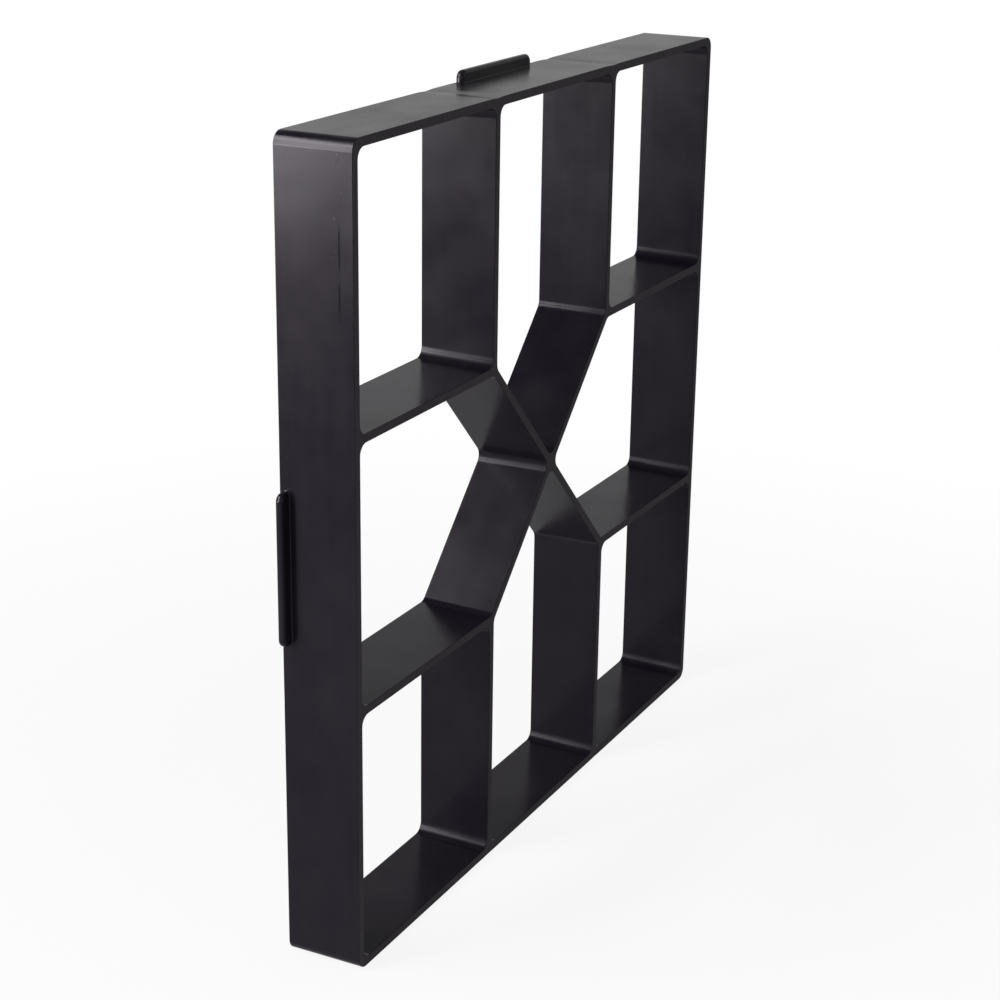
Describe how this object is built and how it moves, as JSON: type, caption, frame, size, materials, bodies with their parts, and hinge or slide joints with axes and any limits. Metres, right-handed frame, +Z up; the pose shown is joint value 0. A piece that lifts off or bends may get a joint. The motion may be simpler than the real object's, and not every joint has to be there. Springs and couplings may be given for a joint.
{
  "type": "concrete path mould",
  "caption": "Square plastic frame whose straight and diagonal webs leave open cells for casting paving stones in place, with finger tabs on its outer walls.",
  "frame": {"origin": "middle of the outer face that the mould stands on", "axes": "+Z up, +X along the width, +Y from the ground rim to the upper rim, so the ground rim faces -Y"},
  "size_m": [0.4062, 0.04, 0.4062],
  "materials": {
    "black_plastic": "satin black moulded polypropylene with faint draw marks"
  },
  "bodies": {
    "root": {"path_mould": "black_plastic"}
  },
  "joints": []
}
